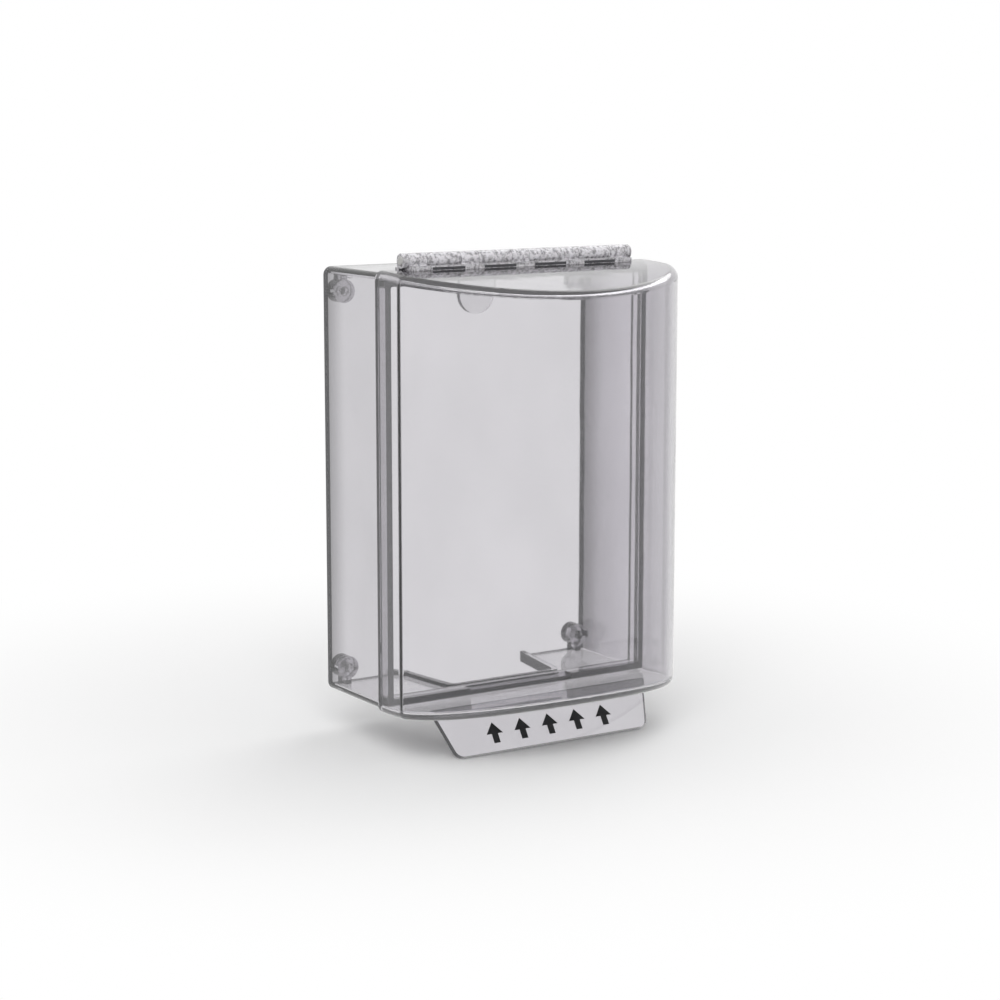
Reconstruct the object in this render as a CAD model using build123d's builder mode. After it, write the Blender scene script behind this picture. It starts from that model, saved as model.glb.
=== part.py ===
"""Lift-up wall guard in clear polycarbonate: an open wall frame and a bowed cover hinged at the top.

Millimetres. The wall is the plane y = 0 and the guard stands out of it towards -Y, with +Z up and
+X to the right. The origin is the centre of the four wall screws.
"""
from build123d import *
from math import acos, cos, degrees, radians, sin, sqrt
import os

# Wall frame
FRAME_WIDTH = 151.0
FRAME_HEIGHT = 205.0
FRAME_DEPTH = 50.8
FRAME_WALL = 3.2
FRAME_CORNER = 4.0
FLANGE_THICKNESS = 3.2
LIP_WALL = 3.0
LIP_DEPTH = 5.2
LIP_GAP_WIDTH = 58.0

# Screw bosses
SCREW_INSET_X = 9.0
SCREW_INSET_Z = 11.5
SCREW_HOLE_RADIUS = 2.3
BOSS_RADIUS = 5.5
BOSS_DEPTH = 8.0
BOSS_WEB = 3.0

# Cable notch in the bottom wall, open at the wall side
NOTCH_BACK_WIDTH = 72.0
NOTCH_FRONT_WIDTH = 58.0
NOTCH_DEPTH = 40.0
NOTCH_CORNER = 3.0
NOTCH_RIM_WIDTH = 2.6
NOTCH_RIM_HEIGHT = 2.0

# Tongue hanging from the top wall
TONGUE_WIDTH = 20.0
TONGUE_DROP = 21.5
TONGUE_THICKNESS = 2.8
TONGUE_SETBACK = 13.6

# Cover
COVER_OVERHANG = 1.0
COVER_WALL = 3.0
COVER_DEPTH = 64.2
COVER_SIDE_DEPTH = 20.0
COVER_BOW_MARGIN = 1.5
COVER_BACK_SLOPE = 1.0
COVER_FRONT_SLOPE = 14.0
COVER_EDGE_RADIUS = 6.0
COVER_RIM_RADIUS = 4.0
COVER_INNER_RIM_RADIUS = 1.5
LIP_CLEARANCE = 1.2
COVER_LEAD_IN = 1.0

# Hinge
HINGE_LENGTH = 127.0
COVER_KNUCKLES = 5
END_KNUCKLE_WIDTH = 2.4
COVER_KNUCKLE_WIDTH = 9.4
KNUCKLE_GAP = 0.3
BARREL_RADIUS = 3.5
BARREL_LIFT = 5.0
BARREL_FORWARD = 1.0
PIN_RADIUS = 1.25
PIN_FIT = 0.05
PIN_HEAD_RADIUS = 2.2
PIN_HEAD_DEPTH = 0.6
PIN_HEAD_ROUND = 0.5
LEAF_THICKNESS = 2.0
FRAME_LEAF_DEPTH = 3.6
COVER_LEAF_DEPTH = 4.0
LEAF_CLEARANCE = 0.3

# Lift tab
TAB_ROOT_WIDTH = 119.0
TAB_EDGE_WIDTH = 107.0
TAB_LENGTH = 21.3
TAB_THICKNESS = 2.8
TAB_LEAN = 33.0
TAB_SETBACK = 23.0
TAB_CORNER = 4.5

# Worked out from the above
FRAME_FRONT = -FRAME_DEPTH
FRAME_TOP = FRAME_HEIGHT / 2
INNER_WIDTH = FRAME_WIDTH - 2 * FRAME_WALL
INNER_HEIGHT = FRAME_HEIGHT - 2 * FRAME_WALL
INNER_CORNER = max(FRAME_CORNER - FRAME_WALL, FRAME_WALL / 4)
SCREW_SPACING_X = FRAME_WIDTH - 2 * SCREW_INSET_X
SCREW_SPACING_Z = FRAME_HEIGHT - 2 * SCREW_INSET_Z
LIP_INSET = COVER_WALL + LIP_CLEARANCE - COVER_OVERHANG
LIP_WIDTH = FRAME_WIDTH - 2 * LIP_INSET
LIP_HEIGHT = FRAME_HEIGHT - 2 * LIP_INSET
MOUTH_WIDTH = LIP_WIDTH - 2 * LIP_WALL
MOUTH_HEIGHT = LIP_HEIGHT - 2 * LIP_WALL
LIP_CORNER = LIP_WALL / 3
COVER_HALF_WIDTH = FRAME_WIDTH / 2 + COVER_OVERHANG
COVER_HALF_HEIGHT = FRAME_TOP + COVER_OVERHANG
BOW_HALF_WIDTH = COVER_HALF_WIDTH + COVER_BOW_MARGIN
BOW_SIDE_SHARE = sqrt(1 - (COVER_HALF_WIDTH / BOW_HALF_WIDTH) ** 2)
BOW_DEPTH = (COVER_DEPTH - COVER_SIDE_DEPTH) / (1 - BOW_SIDE_SHARE)
BOW_CENTRE_Y = FRAME_FRONT - COVER_DEPTH + BOW_DEPTH
CROWN_RADIUS = COVER_DEPTH / (sin(radians(COVER_FRONT_SLOPE)) - sin(radians(COVER_BACK_SLOPE)))
CROWN_CENTRE_Y = FRAME_FRONT + CROWN_RADIUS * sin(radians(COVER_BACK_SLOPE))
CROWN_CENTRE_Z = COVER_HALF_HEIGHT - CROWN_RADIUS * cos(radians(COVER_BACK_SLOPE))
HINGE_Y = FRAME_FRONT - BARREL_FORWARD
HINGE_Z = FRAME_TOP + BARREL_LIFT


def cover_top(y, inset=0):
    """Height at depth y of the cover's crowned top face moved inwards by inset."""
    return CROWN_CENTRE_Z + sqrt((CROWN_RADIUS - inset) ** 2 - (y - CROWN_CENTRE_Y) ** 2)


def cover_block(inset, edge_radius, rim_radius, back):
    """Solid inside the cover's outer faces moved inwards by inset, from y = back to the front.

    Its front is an elliptical bow, a little wider than the cover, so it meets the sides at a blunt edge.
    """
    half_width = COVER_HALF_WIDTH - inset
    bow_half_width = BOW_HALF_WIDTH - inset
    bow_depth = BOW_DEPTH - inset
    side_angle = degrees(acos(half_width / bow_half_width))
    front = BOW_CENTRE_Y - bow_depth
    middle = (back + front) / 2
    back_top, middle_top, front_top = (cover_top(y, inset) for y in (back, middle, front))
    with BuildPart() as block:
        with BuildSketch(Plane.XY.offset(-back_top)):
            with BuildLine():
                bow = EllipticalCenterArc(
                    (0, BOW_CENTRE_Y),
                    bow_half_width,
                    bow_depth,
                    180 + side_angle,
                    arc_size=180 - 2 * side_angle,
                )
                Line(bow @ 1, (half_width, back))
                Line((half_width, back), (-half_width, back))
                Line((-half_width, back), bow @ 0)
            make_face()
        extrude(amount=2 * back_top)
        corners = block.edges().filter_by(Axis.Z).filter_by(lambda edge: edge.center().Y < back)
        fillet(corners, edge_radius)
        with BuildSketch(Plane.YZ):
            with BuildLine():
                ThreePointArc((back, back_top), (middle, middle_top), (front, front_top))
                Line((front, front_top), (front, -front_top))
                ThreePointArc((front, -front_top), (middle, -middle_top), (back, -back_top))
                Line((back, -back_top), (back, back_top))
            make_face()
        extrude(amount=COVER_HALF_WIDTH, both=True, mode=Mode.INTERSECT)
        rims = block.faces().filter_by(lambda face: abs(face.normal_at().Z) > cos(radians(COVER_FRONT_SLOPE)))
        rim_edges = rims.edges().filter_by(lambda edge: edge.center().Y < back)
        fillet(rim_edges, rim_radius)
    return block.part


def hinge_rod(centre, width, radius):
    """Rod on the hinge axis: the pin's running bore, or the room round a knuckle of the other leaf."""
    with BuildPart() as rod:
        with BuildSketch(Plane.YZ.offset(centre - width / 2)):
            with Locations((HINGE_Y, HINGE_Z)):
                Circle(radius)
        extrude(amount=width)
    return rod.part


def knuckle(centre, width, arm):
    """One knuckle: a round barrel joined to its leaf by the polygon arm in the YZ plane."""
    with BuildPart() as barrel:
        with BuildSketch(Plane.YZ.offset(centre - width / 2)):
            with Locations((HINGE_Y, HINGE_Z)):
                Circle(BARREL_RADIUS)
            with BuildLine():
                Polyline(*arm, close=True)
            make_face()
        extrude(amount=width)
    return barrel.part


# Wall frame: four walls, flange round the mouth, lip, bosses, tongue and cable notch
with BuildPart() as wall_frame:
    with BuildSketch(Plane.XZ):
        RectangleRounded(FRAME_WIDTH, FRAME_HEIGHT, FRAME_CORNER)
        RectangleRounded(INNER_WIDTH, INNER_HEIGHT, INNER_CORNER, mode=Mode.SUBTRACT)
    extrude(amount=FRAME_DEPTH)
    with BuildSketch(Plane.XZ.offset(FRAME_DEPTH - FLANGE_THICKNESS)):
        RectangleRounded(FRAME_WIDTH, FRAME_HEIGHT, FRAME_CORNER)
        RectangleRounded(MOUTH_WIDTH, MOUTH_HEIGHT, LIP_CORNER, mode=Mode.SUBTRACT)
    extrude(amount=FLANGE_THICKNESS)
    with BuildSketch(Plane.XZ.offset(FRAME_DEPTH)):
        RectangleRounded(LIP_WIDTH, LIP_HEIGHT, LIP_CORNER)
        RectangleRounded(MOUTH_WIDTH, MOUTH_HEIGHT, LIP_CORNER, mode=Mode.SUBTRACT)
        with Locations((0, -(LIP_HEIGHT + MOUTH_HEIGHT) / 4)):
            Rectangle(LIP_GAP_WIDTH, 2 * LIP_WALL, mode=Mode.SUBTRACT)
    extrude(amount=LIP_DEPTH)

    web_reach_x = (INNER_WIDTH - SCREW_SPACING_X) / 2 + FRAME_WALL / 2
    web_reach_z = (INNER_HEIGHT - SCREW_SPACING_Z) / 2 + FRAME_WALL / 2
    with BuildSketch(Plane.XZ):
        with GridLocations(SCREW_SPACING_X, SCREW_SPACING_Z, 2, 2):
            Circle(BOSS_RADIUS)
        with GridLocations(SCREW_SPACING_X + web_reach_x, SCREW_SPACING_Z, 2, 2):
            Rectangle(web_reach_x, BOSS_WEB)
        with GridLocations(SCREW_SPACING_X, SCREW_SPACING_Z + web_reach_z, 2, 2):
            Rectangle(BOSS_WEB, web_reach_z)
    extrude(amount=BOSS_DEPTH)
    with BuildSketch(Plane.XZ):
        with GridLocations(SCREW_SPACING_X, SCREW_SPACING_Z, 2, 2):
            Circle(SCREW_HOLE_RADIUS)
    extrude(amount=BOSS_DEPTH, mode=Mode.SUBTRACT)

    tongue_root = INNER_HEIGHT / 2 + FRAME_WALL / 2
    tongue_centre = INNER_HEIGHT / 2 - TONGUE_DROP + TONGUE_WIDTH / 2
    with BuildSketch(Plane.XZ.offset(TONGUE_SETBACK)):
        with Locations((0, tongue_centre)):
            Circle(TONGUE_WIDTH / 2)
            Rectangle(TONGUE_WIDTH, tongue_root - tongue_centre, align=(Align.CENTER, Align.MIN))
    extrude(amount=TONGUE_THICKNESS)

    with BuildSketch(Plane.XY.offset(-INNER_HEIGHT / 2 - FRAME_WALL / 2)):
        with BuildLine():
            Polyline(
                (NOTCH_BACK_WIDTH / 2 + NOTCH_RIM_WIDTH, 0),
                (NOTCH_FRONT_WIDTH / 2 + NOTCH_RIM_WIDTH, -NOTCH_DEPTH - NOTCH_RIM_WIDTH),
                (-NOTCH_FRONT_WIDTH / 2 - NOTCH_RIM_WIDTH, -NOTCH_DEPTH - NOTCH_RIM_WIDTH),
                (-NOTCH_BACK_WIDTH / 2 - NOTCH_RIM_WIDTH, 0),
                close=True,
            )
        rim_face = make_face()
        fillet(rim_face.vertices().group_by(Axis.Y)[0], NOTCH_CORNER + NOTCH_RIM_WIDTH)
    extrude(amount=NOTCH_RIM_HEIGHT + FRAME_WALL / 2)
    with BuildSketch(Plane.XY.offset(-FRAME_TOP)):
        with BuildLine():
            Polyline(
                (NOTCH_BACK_WIDTH / 2, 0),
                (NOTCH_FRONT_WIDTH / 2, -NOTCH_DEPTH),
                (-NOTCH_FRONT_WIDTH / 2, -NOTCH_DEPTH),
                (-NOTCH_BACK_WIDTH / 2, 0),
                close=True,
            )
        notch_face = make_face()
        fillet(notch_face.vertices().group_by(Axis.Y)[0], NOTCH_CORNER)
    extrude(amount=FRAME_WALL + NOTCH_RIM_HEIGHT, mode=Mode.SUBTRACT)

# Cover: bowed shell, open at the back, with a lead-in round the inside of its back edge
cover_cavity = cover_block(
    COVER_WALL, COVER_EDGE_RADIUS - COVER_WALL, COVER_INNER_RIM_RADIUS, FRAME_FRONT + COVER_WALL
)
cover_outside = cover_block(0, COVER_EDGE_RADIUS, COVER_RIM_RADIUS, FRAME_FRONT)
with BuildPart() as cover_dome:
    add(cover_outside)
    add(cover_cavity, mode=Mode.SUBTRACT)
    back_face = cover_dome.faces().sort_by(Axis.Y)[-1]
    chamfer(back_face.inner_wires()[0].edges(), COVER_LEAD_IN)

# Hinge knuckles: narrow ones on the cover, wide and end ones on the frame
cover_leaf_length = HINGE_LENGTH - 2 * (END_KNUCKLE_WIDTH + KNUCKLE_GAP)
knuckle_span = cover_leaf_length - COVER_KNUCKLE_WIDTH
pitch = knuckle_span / (COVER_KNUCKLES - 1)
knuckle_room = COVER_KNUCKLE_WIDTH + 2 * KNUCKLE_GAP
wide_width = pitch - knuckle_room
end_centre = (HINGE_LENGTH - END_KNUCKLE_WIDTH) / 2
cover_knuckles = [index * pitch - knuckle_span / 2 for index in range(COVER_KNUCKLES)]
frame_knuckles = [(centre + pitch / 2, wide_width) for centre in cover_knuckles[:-1]]
frame_knuckles += [(-end_centre, END_KNUCKLE_WIDTH), (end_centre, END_KNUCKLE_WIDTH)]
hinge_bore = hinge_rod(0, HINGE_LENGTH, PIN_RADIUS + PIN_FIT)

leaf_front = FRAME_FRONT + LEAF_CLEARANCE
frame_arm_back = leaf_front + FRAME_LEAF_DEPTH / 2
frame_arm = [
    (HINGE_Y, HINGE_Z),
    (HINGE_Y, HINGE_Z - BARREL_RADIUS),
    (leaf_front, HINGE_Z - BARREL_RADIUS),
    (leaf_front, FRAME_TOP),
    (frame_arm_back, FRAME_TOP),
    (frame_arm_back, FRAME_TOP + LEAF_THICKNESS),
    (HINGE_Y + BARREL_RADIUS, HINGE_Z),
]
with BuildPart() as frame_hinge_leaf:
    with BuildSketch(Plane.XY.offset(FRAME_TOP)):
        with Locations((0, leaf_front)):
            Rectangle(HINGE_LENGTH, FRAME_LEAF_DEPTH, align=(Align.CENTER, Align.MIN))
    extrude(amount=LEAF_THICKNESS)
    for knuckle_centre in cover_knuckles:
        add(hinge_rod(knuckle_centre, knuckle_room, BARREL_RADIUS + LEAF_CLEARANCE), mode=Mode.SUBTRACT)
    for knuckle_centre, knuckle_width in frame_knuckles:
        add(knuckle(knuckle_centre, knuckle_width, frame_arm))
    add(hinge_bore, mode=Mode.SUBTRACT)

cover_leaf_back = HINGE_Y - BARREL_RADIUS
cover_leaf_front = cover_leaf_back - COVER_LEAF_DEPTH
cover_arm_back = FRAME_FRONT - LEAF_CLEARANCE
leaf_foot = cover_top(cover_leaf_front) - LEAF_THICKNESS
cover_arm = [
    (cover_arm_back, HINGE_Z),
    (cover_arm_back, leaf_foot),
    (cover_leaf_back, leaf_foot),
    (cover_leaf_back, cover_top(cover_leaf_back) + LEAF_THICKNESS),
    (HINGE_Y, HINGE_Z),
]
with BuildPart() as cover_hinge_leaf:
    with BuildSketch(Plane.YZ.offset(-cover_leaf_length / 2)):
        with BuildLine():
            Polyline(
                (cover_leaf_back, leaf_foot),
                (cover_leaf_front, leaf_foot),
                (cover_leaf_front, cover_top(cover_leaf_front) + LEAF_THICKNESS),
                (cover_leaf_back, cover_top(cover_leaf_back) + LEAF_THICKNESS),
                close=True,
            )
        make_face()
    extrude(amount=cover_leaf_length)
    for knuckle_centre in cover_knuckles:
        add(knuckle(knuckle_centre, COVER_KNUCKLE_WIDTH, cover_arm))
    add(hinge_bore, mode=Mode.SUBTRACT)
    add(cover_outside, mode=Mode.SUBTRACT)

# Hinge pin, headed at both ends
with BuildPart() as hinge_pin:
    with BuildSketch(Plane.YZ.offset(-HINGE_LENGTH / 2)):
        with Locations((HINGE_Y, HINGE_Z)):
            Circle(PIN_RADIUS)
    extrude(amount=HINGE_LENGTH)
    for head_start in (-HINGE_LENGTH / 2 - PIN_HEAD_DEPTH, HINGE_LENGTH / 2):
        with BuildSketch(Plane.YZ.offset(head_start)):
            with Locations((HINGE_Y, HINGE_Z)):
                Circle(PIN_HEAD_RADIUS)
        extrude(amount=PIN_HEAD_DEPTH)
    end_faces = hinge_pin.faces().filter_by(Axis.X).sort_by(Axis.X)
    fillet(end_faces[0].edges() + end_faces[-1].edges(), PIN_HEAD_ROUND)

# Lift tab: a tapered plate leaning forward, cut off flush with the cover's crowned bottom face
lean = radians(TAB_LEAN)
tab_root_y = FRAME_FRONT - TAB_SETBACK
tab_plane = Plane(
    origin=(0, tab_root_y, -cover_top(tab_root_y)), x_dir=(1, 0, 0), z_dir=(0, -cos(lean), sin(lean))
)
tab_taper = (TAB_ROOT_WIDTH - TAB_EDGE_WIDTH) / 2 / TAB_LENGTH
tab_overrun = 2 * TAB_THICKNESS
with BuildPart() as lift_tab:
    with BuildSketch(tab_plane):
        with BuildLine():
            Polyline(
                (TAB_ROOT_WIDTH / 2 + tab_taper * tab_overrun, tab_overrun),
                (TAB_EDGE_WIDTH / 2, -TAB_LENGTH),
                (-TAB_EDGE_WIDTH / 2, -TAB_LENGTH),
                (-TAB_ROOT_WIDTH / 2 - tab_taper * tab_overrun, tab_overrun),
                close=True,
            )
        tab_face = make_face()
        fillet(tab_face.vertices().group_by(Axis.Z)[0], TAB_CORNER)
    extrude(amount=-TAB_THICKNESS)
    add(cover_outside, mode=Mode.SUBTRACT)

parts = {
    "wall_frame": wall_frame,
    "cover_dome": cover_dome,
    "frame_hinge_leaf": frame_hinge_leaf,
    "cover_hinge_leaf": cover_hinge_leaf,
    "hinge_pin": hinge_pin,
    "lift_tab": lift_tab,
}
os.makedirs("parts", exist_ok=True)
for name, builder in parts.items():
    builder.part.label = name
    export_step(builder.part, f"parts/{name}.step")
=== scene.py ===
"""Lift-up wall guard in clear polycarbonate: finishes, lift marks and a plain studio.

Metres, in the guard's own frame: the wall is the plane y = 0, the guard stands out of it towards
-Y, and +Z is up. The guard's own solids are the loaded frame; nothing here changes their shape.
"""

import math
from collections import namedtuple

import bmesh
import bpy
from bpy.props import FloatProperty, FloatVectorProperty, IntProperty, PointerProperty
from bpy.types import Operator, Panel, PropertyGroup
from mathutils import Matrix, Vector


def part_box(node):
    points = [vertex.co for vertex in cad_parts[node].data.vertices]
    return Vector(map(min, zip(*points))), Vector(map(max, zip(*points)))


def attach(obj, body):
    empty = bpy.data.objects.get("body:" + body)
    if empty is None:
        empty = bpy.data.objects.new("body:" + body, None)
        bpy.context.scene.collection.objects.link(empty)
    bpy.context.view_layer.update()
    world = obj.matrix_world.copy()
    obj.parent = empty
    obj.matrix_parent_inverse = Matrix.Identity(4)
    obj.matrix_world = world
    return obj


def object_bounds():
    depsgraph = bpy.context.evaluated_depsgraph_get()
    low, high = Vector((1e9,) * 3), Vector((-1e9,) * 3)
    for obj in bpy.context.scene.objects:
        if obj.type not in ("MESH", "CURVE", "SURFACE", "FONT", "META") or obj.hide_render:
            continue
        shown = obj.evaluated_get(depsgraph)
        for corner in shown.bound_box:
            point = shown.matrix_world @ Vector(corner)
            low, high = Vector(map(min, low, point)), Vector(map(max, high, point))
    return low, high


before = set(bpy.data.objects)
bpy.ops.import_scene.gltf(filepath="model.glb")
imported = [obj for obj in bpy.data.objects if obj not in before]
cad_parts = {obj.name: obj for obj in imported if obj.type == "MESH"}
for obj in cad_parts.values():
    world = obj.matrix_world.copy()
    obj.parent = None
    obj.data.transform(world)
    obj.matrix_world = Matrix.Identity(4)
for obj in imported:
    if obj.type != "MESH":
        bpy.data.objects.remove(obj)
CAD_BOX = [list(corner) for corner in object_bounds()]

bl_info = {
    "name": "Lift-up Wall Guard",
    "version": (1, 0, 0),
    "blender": (4, 5, 0),
    "location": "3D View > Sidebar > Wall Guard",
    "description": "Finishes a clear hinged wall guard, marks its lift tab and lights it",
    "category": "Object",
}

# Faces of a piece: two corners of a box round them, a direction, and whether they look along it
Faces = namedtuple("Faces", "low high direction along")
# Lumpy plastic: two corners of its box, the same on every side of the middle, the spacing and
# darkness of its specks, whose light and dark are painted glints and shade, and its clearness
Lumps = namedtuple("Lumps", "low high speck dark clearness")


def linear(hex_colour):
    """Linear RGB of an sRGB hex colour."""
    channels = [int(hex_colour[i : i + 2], 16) / 255 for i in (1, 3, 5)]
    return tuple(c / 12.92 if c <= 0.04045 else ((c + 0.055) / 1.055) ** 2.4 for c in channels)


def millimetres(value):
    """A number of millimetres as a length in metres."""
    return value / 1000


ACROSS = Vector((1, 0, 0))
OUTWARD = Vector((0, 1, 0))
UPRIGHT = Vector((0, 0, 1))
# The tab's face looks this far up from level
TAB_LEAN = math.radians(33)
TAB_FACING = Vector((0, -math.cos(TAB_LEAN), math.sin(TAB_LEAN)))

# A box round some faces is this much larger on every side, so that it holds those that lie on it
BOX_SKIN = millimetres(0.3)
# A face looks along a direction above the first squareness, and across it below the second
SQUARE_ON, SIDE_ON = 0.8, 0.5
# Squareness to the upright in the middle of a rounded edge, and how far the edge goes either way
ROUNDED, ROUNDED_REACH = 0.55, 0.38
# The noise lies mostly between the first two values; specks and scuffs start and end at the others
NOISE_LOW, NOISE_HIGH = 0.3, 0.7
SPECK_START, SPECK_END = 0.36, 0.58
SCUFF_START, SCUFF_END = 0.52, 0.78
# Clearness of the darkest flow cloud
CLOUD_SHADE = 0.93
# The shade next to the wall is full over this part of its reach
FULL_SHADE = 1 / 6
# Flow waves are this much longer up the guard than across it
FLOW_STRETCH = 1.6
# Extra roughness of a trimmed end face
TRIM_HAZE = 0.2
# Steepness of the line of sight at which the ceiling starts and is full
CEILING_START, CEILING_END = 0.45, 0.85
SENSOR_WIDTH = 36


def add_node(tree, kind, inputs=None, **settings):
    """Adds one node: settings are its attributes, inputs are socket values or sockets to link."""
    node = tree.nodes.new(kind)
    for key, value in settings.items():
        setattr(node, key, value)
    for key, value in (inputs or {}).items():
        if isinstance(value, bpy.types.NodeSocket):
            tree.links.new(value, node.inputs[key])
        else:
            node.inputs[key].default_value = value
    return node


def new_material(name):
    """An empty node material and its tree."""
    material = bpy.data.materials.new(name)
    material.use_nodes = True
    material.node_tree.nodes.clear()
    return material, material.node_tree


def dress(node, material):
    """Gives a loaded node its finish."""
    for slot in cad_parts[node].material_slots:
        slot.material = material


class PlasticFinish(PropertyGroup):
    """Clear plastic of the frame, cover, tab and hinge strips."""

    surface: FloatVectorProperty(
        name="Surface", description="Colour that each wall lets through", subtype="COLOR",
        default=linear("#DFDDE1"), min=0, max=1,
    )
    body_tint: FloatVectorProperty(
        name="Body tint", description="Colour that the thickness of the plastic leaves", subtype="COLOR",
        default=linear("#BCBABE"), min=0, max=1,
    )
    body_density: FloatProperty(
        name="Body density", description="How fast the plastic darkens with thickness, per metre",
        default=84, min=0,
    )
    roughness: FloatProperty(
        name="Roughness", description="Haze of the moulded surface", default=0.03, min=0, max=1,
        subtype="FACTOR",
    )
    wave_length: FloatProperty(
        name="Flow wave length", description="Spacing of the slow waves left by moulding",
        default=millimetres(38), min=millimetres(1), subtype="DISTANCE", unit="LENGTH",
    )
    # The next two give painted shade: end faces, seams and slots take this dark colour and pass little light
    rim_shade: FloatVectorProperty(
        name="Rim", description="Colour of the end faces, dark because they pass little light",
        subtype="COLOR", default=linear("#3C3C41"), min=0, max=1,
    )
    rim_clearness: FloatProperty(
        name="Rim clearness", description="Share of light that the end faces let through", default=0.22,
        min=0, max=1, subtype="FACTOR",
    )
    speck_depth: FloatProperty(
        name="Speck depth", description="Depth of the dimples that make the specks glitter",
        default=millimetres(0.3), min=0, subtype="DISTANCE", unit="LENGTH",
    )
    # Painted light on the cover's rounded edges, which would otherwise look dark
    edge_clearness: FloatProperty(
        name="Edge clearness", description="Share of light that the rubbed rounded edges let through",
        default=0.84, min=0, max=1, subtype="FACTOR",
    )
    # Light specks are painted glints, brighter than the plastic's own colour
    speck_glint: FloatProperty(
        name="Speck light", description="Clearness of the light specks", default=1.25, min=1, max=2,
    )
    # The next four set painted shade next to the wall and a painted gradient of light on the frame's right
    # side
    wall_shade: FloatProperty(
        name="Wall shade", description="Share of light that the frame keeps next to the wall", default=0.6,
        min=0, max=1, subtype="FACTOR",
    )
    front_light: FloatProperty(
        name="Front clearing", description="Clearness of the frame's right side at its front",
        default=1.5, min=0, max=2,
    )
    back_shade: FloatProperty(
        name="Back shade", description="Clearness of the frame's right side at its back",
        default=0.85, min=0, max=1, subtype="FACTOR",
    )
    shade_reach: FloatProperty(
        name="Shade reach", description="Distance from the wall at which the frame is clear again",
        default=millimetres(20), min=millimetres(1), subtype="DISTANCE", unit="LENGTH",
    )


class PinFinish(PropertyGroup):
    """Uncoloured nylon of the hinge pin."""

    colour: FloatVectorProperty(
        name="Nylon", description="Colour of the bare nylon", subtype="COLOR", default=linear("#D9D8D6"),
        min=0, max=1,
    )
    roughness: FloatProperty(
        name="Roughness", description="Roughness of the drawn rod", default=0.42, min=0, max=1,
        subtype="FACTOR",
    )


class LiftMarks(PropertyGroup):
    """Row of printed arrows on the lift tab."""

    count: IntProperty(name="Arrows", description="Number of arrows in the row", default=5, min=1, max=12)
    pitch: FloatProperty(
        name="Pitch", description="Distance from one arrow to the next", default=millimetres(15.5),
        min=0, subtype="DISTANCE", unit="LENGTH",
    )
    head_width: FloatProperty(
        name="Head width", description="Width of the arrow's head", default=millimetres(9.0),
        min=0, subtype="DISTANCE", unit="LENGTH",
    )
    head_height: FloatProperty(
        name="Head height", description="Height of the arrow's head", default=millimetres(5.6),
        min=0, subtype="DISTANCE", unit="LENGTH",
    )
    stem_width: FloatProperty(
        name="Stem width", description="Width of the arrow's stem", default=millimetres(3.4),
        min=0, subtype="DISTANCE", unit="LENGTH",
    )
    stem_height: FloatProperty(
        name="Stem height", description="Height of the arrow's stem", default=millimetres(4.6),
        min=0, subtype="DISTANCE", unit="LENGTH",
    )
    thickness: FloatProperty(
        name="Ink thickness", description="How far the ink stands off the tab", default=millimetres(0.08),
        min=0, subtype="DISTANCE", unit="LENGTH",
    )
    rise: FloatProperty(
        name="Rise", description="Height of the arrows' middle above the tab's front edge",
        default=millimetres(9.0), min=0, subtype="DISTANCE", unit="LENGTH",
    )
    ink: FloatVectorProperty(
        name="Ink", description="Colour of the printed ink", subtype="COLOR", default=linear("#1C1C1E"),
        min=0, max=1,
    )


class Studio(PropertyGroup):
    """Floor, background, lamps and camera."""

    floor_colour: FloatVectorProperty(
        name="Floor", description="Colour of the floor", subtype="COLOR", default=linear("#FAFAFA"),
        min=0, max=1,
    )
    floor_size: FloatProperty(
        name="Floor size", description="Length of the floor's side", default=8, min=0, subtype="DISTANCE",
        unit="LENGTH",
    )
    shadow_size: FloatProperty(
        name="Shadow size", description="Distance from the middle at which the shadow starts to fade",
        default=0.12, min=0, subtype="DISTANCE", unit="LENGTH",
    )
    white_size: FloatProperty(
        name="White size", description="Distance from the middle at which the floor is plain white",
        default=0.4, min=0, subtype="DISTANCE", unit="LENGTH",
    )
    fill: FloatProperty(
        name="Fill", description="Strength of the light that comes from all round", default=0.65, min=0
    )
    ceiling: FloatProperty(
        name="Ceiling", description="How bright the dim ceiling looks in the plastic's reflections",
        default=0.5, min=0, max=1, subtype="FACTOR",
    )
    key_power: FloatProperty(name="Key", description="Power of the key lamp in watts", default=14, min=0)
    key_size: FloatProperty(
        name="Key size", description="Side of the key lamp", default=1.3, min=0, subtype="DISTANCE",
        unit="LENGTH",
    )
    key_place: FloatVectorProperty(
        name="Key place", description="Where the key lamp stands", subtype="TRANSLATION", unit="LENGTH",
        default=(-0.9, -1.2, 1.35),
    )
    rim_power: FloatProperty(name="Rim", description="Power of the lamp behind in watts", default=5, min=0)
    rim_size: FloatProperty(
        name="Rim size", description="Side of the lamp behind", default=1.0, min=0, subtype="DISTANCE",
        unit="LENGTH",
    )
    rim_place: FloatVectorProperty(
        name="Rim place", description="Where the lamp behind stands", subtype="TRANSLATION", unit="LENGTH",
        default=(1.1, 0.5, 1.1),
    )
    lens: FloatProperty(name="Lens", description="Focal length in millimetres", default=87.05, min=1)
    azimuth: FloatProperty(
        name="Azimuth", description="Turn of the camera to its left", default=math.radians(-32.589),
        subtype="ANGLE",
    )
    pitch: FloatProperty(
        name="Pitch", description="Tilt of the camera below level", default=math.radians(9.539),
        subtype="ANGLE",
    )
    place: FloatVectorProperty(
        name="Place", description="Where the camera stands", subtype="TRANSLATION", unit="LENGTH",
        default=(-0.621189, -1.008509, 0.182878),
    )


def product(tree, first, *others):
    """The product of values or sockets."""
    for other in others:
        first = add_node(tree, "ShaderNodeMath", {0: first, 1: other}, operation="MULTIPLY").outputs["Value"]
    return first


def greatest(tree, first, *others):
    """The greatest of values or sockets."""
    for other in others:
        first = add_node(tree, "ShaderNodeMath", {0: first, 1: other}, operation="MAXIMUM").outputs["Value"]
    return first


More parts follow.
